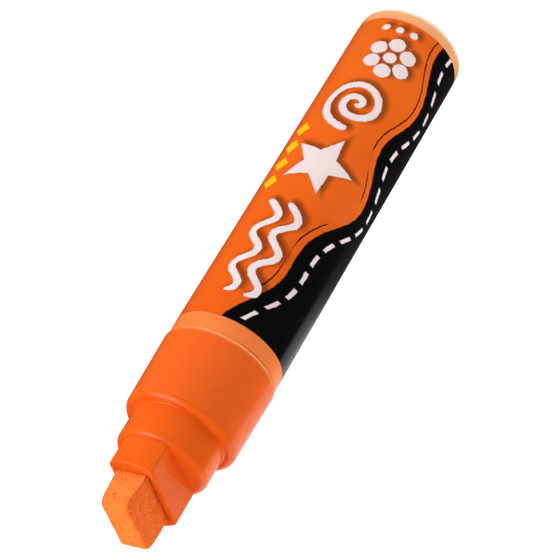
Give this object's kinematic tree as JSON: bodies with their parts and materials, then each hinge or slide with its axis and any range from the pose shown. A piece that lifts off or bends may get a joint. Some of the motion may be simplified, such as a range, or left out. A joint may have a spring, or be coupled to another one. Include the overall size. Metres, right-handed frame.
{
  "type": "liquid chalk marker",
  "caption": "Jumbo liquid chalk marker: round labelled barrel, stepped front with a flat-sided snout, and a wide felt nib that is pressed to open a spring valve.",
  "frame": {"origin": "middle of the rear face, on the axis, where the marker stands", "axes": "+Z along the axis to the nib, X across the nib's wide side, Y across its thickness"},
  "size_m": [0.0286, 0.0286, 0.1559],
  "materials": {
    "barrel_plastic": "moulded polypropylene, satin gloss",
    "label_film": "printed film, gloss",
    "section_plastic": "moulded polypropylene, satin gloss",
    "nib_felt": "porous felt soaked with ink",
    "valve_plastic": "natural moulded plastic",
    "seal_rubber": "moulded rubber",
    "spring_steel": "drawn stainless wire",
    "ball_steel": "polished"
  },
  "bodies": {
    "marker_body": {"barrel": "barrel_plastic", "label_sleeve": "label_film", "nib_section": "section_plastic", "valve_cup": "valve_plastic", "spring_retainer": "valve_plastic", "neck_seal": "seal_rubber", "valve_spring": "spring_steel"},
    "nib_set": {"nib": "nib_felt", "valve_stem": "valve_plastic", "valve_seal": "seal_rubber"},
    "stirring_ball": {"mixing_ball": "ball_steel"}
  },
  "joints": [
    {"name": "nib_press", "type": "slide", "parent": "marker_body", "child": "nib_set", "axis": [0, 0, -1], "range_m": [0, 0.0025], "stiffness_N_per_m": 800, "springref_m": -0.002, "deforming": ["valve_spring"]},
    {"name": "ball_roll", "type": "slide", "parent": "marker_body", "child": "stirring_ball", "axis": [0, 0, 1], "range_m": [0, 0.095]}
  ]
}
